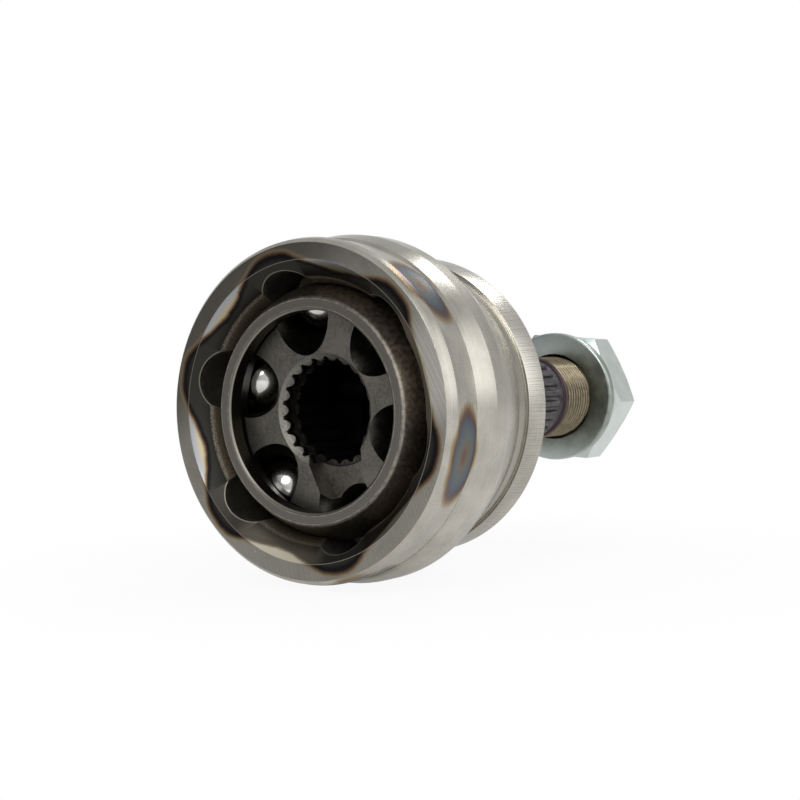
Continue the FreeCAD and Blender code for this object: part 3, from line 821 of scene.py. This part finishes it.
def cage_steel():
    """Case-hardened brown-grey steel, with painted shade inside, a painted highlight on one side, and
    painted highlights along its ground rim's edges.
    """
    paint = Paint("cage_steel")
    grain = paint.noise(0.9, 5.0)
    marks = paint.lines(paint.radius, 4.0, 3.0)
    skin = paint.mix(grain.fade(0.3, 0.7), srgb(84, 77, 68), srgb(110, 102, 91))
    # Painted shade darkens the cage's inner sphere and the inner part of its windows.
    from_centre = (paint.radius * paint.radius + paint.x * paint.x) ** 0.5
    inner_shade = from_centre.fade(CAGE_OUTER - 1.5, CAGE_INNER + 1.2)
    skin = paint.mix(inner_shade, skin, srgb(62, 58, 52))
    # Painted highlight: the cage's skin is lighter toward one side, broken up by its grain.
    cage_highlight = paint.toward(CAGE_HIGHLIGHT_SIDE).fade(6.0, 26.0)
    skin = paint.mix(cage_highlight * grain.fade(0.25, 0.75) * 0.5, skin, srgb(158, 146, 130))
    rim = paint.mix(marks.fade(0.3, 0.7), srgb(102, 99, 93), srgb(124, 120, 113))
    # Painted highlights: thin light rings near the rim's inner and outer edges.
    rim_edge_highlights = abs(paint.radius - (CAGE_MOUTH + 0.75)).fade(0.16, 0.05)
    rim_edge_highlights = rim_edge_highlights + paint.radius.fade(front_edge - 0.35, front_edge - 0.15)
    rim = paint.mix(rim_edge_highlights * grain.fade(0.3, 0.7) * 0.7, rim, srgb(178, 173, 161))
    colour = paint.mix(paint.x.fade(CAGE_FRONT + 0.62, CAGE_FRONT + 0.4), skin, rim)
    # Painted highlights on the rim's chamfers.
    edges = paint.x.band(CAGE_FRONT + 0.1, CAGE_FRONT + 0.42, 0.06)
    colour = paint.mix(edges * (0.1 + grain * 0.35), colour, srgb(176, 170, 156))
    return paint.finish(colour, 0.36 + grain * 0.12, grain, 0.01)


cage = lathe("ball_cage", [
    *arc(0, CAGE_INNER, math.asin(CAGE_REAR / CAGE_INNER), -math.acos(CAGE_MOUTH / CAGE_INNER), 40),
    Vector((outer_front, CAGE_MOUTH)), Vector((CAGE_FRONT, CAGE_MOUTH + CAGE_CHAMFER)),
    Vector((CAGE_FRONT, front_edge)),
    *arc(0, CAGE_OUTER, math.asin(outer_front / CAGE_OUTER), math.asin(outer_rear / CAGE_OUTER), 60),
    Vector((CAGE_REAR, rear_edge))])
cage_finish = cage_steel()
cage.data.materials.append(cage_finish)


def window_bar(name, steps=8):
    """A bar straight up from the axis with the rounded section of a cage window."""
    outline = []
    for turn, (side_x, side_y) in enumerate(((1, 1), (-1, 1), (-1, -1), (1, -1))):
        centre_x = side_x * (WINDOW_HALF_WIDTH - WINDOW_CORNER)
        centre_y = side_y * (WINDOW_HALF_LENGTH - WINDOW_CORNER)
        for step in range(steps + 1):
            angle = math.pi / 2 * (turn + step / steps)
            outline.append((centre_x + WINDOW_CORNER * math.cos(angle),
                            centre_y + WINDOW_CORNER * math.sin(angle)))
    return bar(name, [[(x, y, z) for x, y in outline] for z in (WINDOW_FOOT, CAGE_OUTER + 2)])


windows = window_bar("windows")
ring_of(windows, GROOVES, TOP_TO_GROOVE, cage_finish)
cut(cage, windows)
shade(cage)
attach(cage, "cage")
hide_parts("cage")

# Balls
# Six bearing-steel balls, ground and polished. Each one sits in a window of the cage and rolls between
# a groove of the bell and a groove of the race.
BALL_RADIUS = 15.875 / 2
PITCH_RADIUS = 29.0


def ball_steel():
    """Polished bearing steel with a faint film of grease."""
    paint = Paint("ball_steel")
    film = paint.noise(0.25, 4.0)
    colour = paint.mix(film.fade(0.35, 0.75), srgb(222, 221, 218), srgb(206, 202, 194))
    return paint.finish(colour, 0.10 + film * 0.10)


ball_finish = ball_steel()
for number in range(1, GROOVES + 1):
    name = f"ball_{number}"
    ball = lathe(f"{name}_steel", arc(0, BALL_RADIUS, -math.pi / 2, math.pi / 2, 64), 128)
    angle = FIRST_GROOVE + number * GROOVE_PITCH
    place = Vector((0, math.cos(angle), math.sin(angle))) * (PITCH_RADIUS * MM)
    ball.data.transform(Matrix.Translation(place))
    ball.data.materials.append(ball_finish)
    shade(ball)
    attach(ball, name)
    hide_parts(name)

# Washer and nut
# A thick zinc-plated steel washer with a rolled rim, and the hexagon axle nut, which screws onto the
# stub's thread. The nut's spigot reaches into the washer's pocket and holds it.
WASHER_FRONT = 103.4
WASHER_BACK = 106.4
WASHER_RADIUS = 19.2
WASHER_HOLE = 12.7
POCKET_RADIUS = 15.08
POCKET_DEPTH = 1.6
NUT_FRONT = 106.5
NUT_BACK = 118.0
NUT_FLAT_RADIUS = 18.0
NUT_TURN = math.radians(5)
NUT_BORE = 12.06
SPIGOT_RADIUS = 15.0
SPIGOT_LENGTH = 1.6
FRONT_BEVEL = 2.2
BACK_BEVEL = 3.6
LEAD_BEVEL = 1.2
HIGHLIGHT_MIDDLE_Z = -2.0


def zinc(name, dark, light):
    """Zinc plating with its soft mottle, and painted highlights that make it brightest at top and
    bottom.
    """
    paint = Paint(name)
    mottle = paint.noise(0.28, 6.0)
    speck = paint.noise(1.6)
    colour = paint.mix(mottle.fade(0.25, 0.75), dark, light)
    colour = paint.mix(speck.fade(0.62, 0.78) * 0.25, colour, srgb(120, 126, 122))
    # Painted highlights: the plating is lighter toward its top and bottom.
    top_and_bottom_highlight = abs(paint.z - HIGHLIGHT_MIDDLE_Z).fade(10.0, 19.0)
    colour = paint.mix(top_and_bottom_highlight * 0.7, colour, srgb(214, 224, 222))
    return paint.finish(colour, 0.26 + mottle * 0.14, mottle + speck * 0.5, 0.008)


pocket_floor = WASHER_BACK - POCKET_DEPTH
washer = lathe("washer_plate", rounded([
    (pocket_floor, WASHER_HOLE, 0), (WASHER_FRONT, WASHER_HOLE, 0.2),
    (WASHER_FRONT, WASHER_RADIUS, 0.8), (WASHER_BACK, WASHER_RADIUS, 0.8),
    (WASHER_BACK, POCKET_RADIUS, 0.2), (pocket_floor, POCKET_RADIUS, 0)]))
washer.data.materials.append(zinc("washer_zinc", srgb(132, 140, 134), srgb(164, 171, 164)))
shade(washer)
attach(washer, "washer")
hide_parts("washer")

spigot_end = NUT_FRONT - SPIGOT_LENGTH
lead_radius = NUT_BORE + LEAD_BEVEL
corner_radius = NUT_FLAT_RADIUS / math.cos(math.radians(30))
blank_radius = corner_radius + 1.0
nut = lathe("axle_nut", rounded([
    (spigot_end, SPIGOT_RADIUS - 1.0, 0), (spigot_end, SPIGOT_RADIUS, 0.2),
    (NUT_FRONT, SPIGOT_RADIUS, 0.1), (NUT_FRONT, NUT_FLAT_RADIUS - 0.4, 0.1),
    (NUT_FRONT + FRONT_BEVEL, blank_radius, 0),
    (NUT_BACK - BACK_BEVEL * math.tan(math.radians(30)), blank_radius, 0),
    (NUT_BACK, blank_radius - BACK_BEVEL, 0.2), (NUT_BACK, lead_radius, 0.1),
    (NUT_BACK - LEAD_BEVEL, NUT_BORE, 0.1), (spigot_end + LEAD_BEVEL, NUT_BORE, 0.1),
    (spigot_end, lead_radius, 0)]))
nut.data.materials.append(zinc("nut_zinc", srgb(204, 213, 207), srgb(218, 225, 220)))
hexagon_corners = []
for corner in range(6):
    angle = NUT_TURN + corner * math.pi / 3
    hexagon_corners.append((corner_radius * math.cos(angle), corner_radius * math.sin(angle)))
hexagon = prism("hexagon", hexagon_corners, NUT_FRONT - 5, NUT_BACK + 5)
cut(nut, hexagon, "INTERSECT")
shade(nut)
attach(nut, "nut")
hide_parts("nut")

# Floor
# A pale sheet of paper on which the bell's ridge rests, measured in metres, so wide that its edges
# stay outside the picture.
FLOOR_HALF = 3.0
PAPER = 0.92
floor_mesh = bmesh.new()
bmesh.ops.create_grid(floor_mesh, x_segments=1, y_segments=1, size=FLOOR_HALF)
floor_data = bpy.data.meshes.new("floor")
floor_mesh.to_mesh(floor_data)
floor_mesh.free()
floor = bpy.data.objects.new("floor", floor_data)
bpy.context.scene.collection.objects.link(floor)
floor.location.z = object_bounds()[0][2]


def sheet_paper():
    """White paper that fades into the white around it and keeps a soft shadow by the object."""
    paint = Paint("paper")
    fibre = paint.noise(0.4, 4.0)
    colour = paint.mix(fibre, (PAPER,) * 3 + (1,), (PAPER + 0.03,) * 3 + (1,))
    paint.finish(colour, 0.9, metallic=0.0)
    glow = paint.node("ShaderNodeEmission", {"Color": (1, 1, 1, 1), "Strength": 1.0})
    rays = paint.node("ShaderNodeLightPath").socket.node
    seen = Wire(paint, rays.outputs["Is Camera Ray"])
    mirrored = Wire(paint, rays.outputs["Is Glossy Ray"])
    away = ((paint.x - 40.0) ** 2.0 + paint.y * paint.y) ** 0.5
    part = seen * (0.92 + away.fade(60.0, 160.0) * 0.08) + mirrored * 0.3
    plain = Wire(paint, paint.shader.outputs[0])
    blend = paint.node("ShaderNodeMixShader", {0: part, 1: plain, 2: glow})
    paint.tree.links.new(blend.socket, paint.tree.nodes["Material Output"].inputs["Surface"])
    return paint.material


floor_data.materials.append(sheet_paper())

# Light and camera
# A grey studio with a bright backdrop, a bright window to the right of the camera and a dark screen to
# its left, which the flat faces mirror. A small soft lamp hangs high behind the stub, and a larger one
# over the camera. Places are in metres.
CAMERA_PLACE = (-0.3232, -0.2348, 0.0127)
SCREEN = Vector((-0.83, 0.56, 0.05)).normalized()
LOOK = Vector((0.82585, 0.56325, -0.02672)).normalized()
UPRIGHT = Vector((0.03228, 0.0, 0.99948)).normalized()
WINDOW_START = math.radians(-132)
WINDOW_END = math.radians(-41)


def studio_world():
    """The studio around the object, white where the camera looks at it directly."""
    world = bpy.data.worlds.new("studio")
    world.use_nodes = True
    sky = Shades(world.node_tree)
    way = sky.node("ShaderNodeTexCoord", out="Generated")
    split = sky.node("ShaderNodeSeparateXYZ", {0: way}).socket.node
    x, y, z = [Wire(sky, out) for out in split.outputs]
    screen = (x * SCREEN.x + y * SCREEN.y + z * SCREEN.z).fade(0.35, 0.9)
    window = y.math("ARCTAN2", x).band(WINDOW_START, WINDOW_END, 0.07) * z.band(0.07, 0.62, 0.07)
    backdrop = (x * LOOK.x + y * LOOK.y + z * LOOK.z).fade(0.88, 0.97)
    tone = 0.58 - screen * 0.33 + window * 1.15 + backdrop * 0.42
    seen = Wire(sky, sky.node("ShaderNodeLightPath").socket.node.outputs["Is Camera Ray"])
    tone = tone * (1.0 - seen) + seen
    background = world.node_tree.nodes["Background"]
    sky.give(background.inputs["Color"], sky.node("ShaderNodeCombineXYZ", {0: tone, 1: tone, 2: tone}))
    background.inputs["Strength"].default_value = 1.0
    return world


def soft_lamp(name, place, size, watts):
    """A round soft lamp that shines on the joint's centre."""
    lamp_data = bpy.data.lights.new(name, "AREA")
    lamp_data.shape = "DISK"
    lamp_data.size = size
    lamp_data.energy = watts
    lamp = bpy.data.objects.new(name, lamp_data)
    bpy.context.scene.collection.objects.link(lamp)
    turned_away = Vector(place).to_track_quat("Z", "Y")
    lamp.matrix_world = Matrix.Translation(place) @ turned_away.to_matrix().to_4x4()
    lamp.visible_camera = False


bpy.context.scene.world = studio_world()
soft_lamp("overhead", (0.611, -0.053, 0.658), 0.22, 0.9)
soft_lamp("front", (-0.68, -0.25, 0.50), 0.42, 2.6)

camera_data = bpy.data.cameras.new("camera")
camera_data.lens = 72
camera_data.sensor_width = 36
camera_data.clip_start = 0.01
camera = bpy.data.objects.new("camera", camera_data)
bpy.context.scene.collection.objects.link(camera)
camera_axes = Matrix((LOOK.cross(UPRIGHT), UPRIGHT, -LOOK)).transposed()
camera.matrix_world = Matrix.Translation(CAMERA_PLACE) @ camera_axes.to_4x4()
bpy.context.scene.camera = camera
bpy.context.scene.view_settings.view_transform = "Standard"
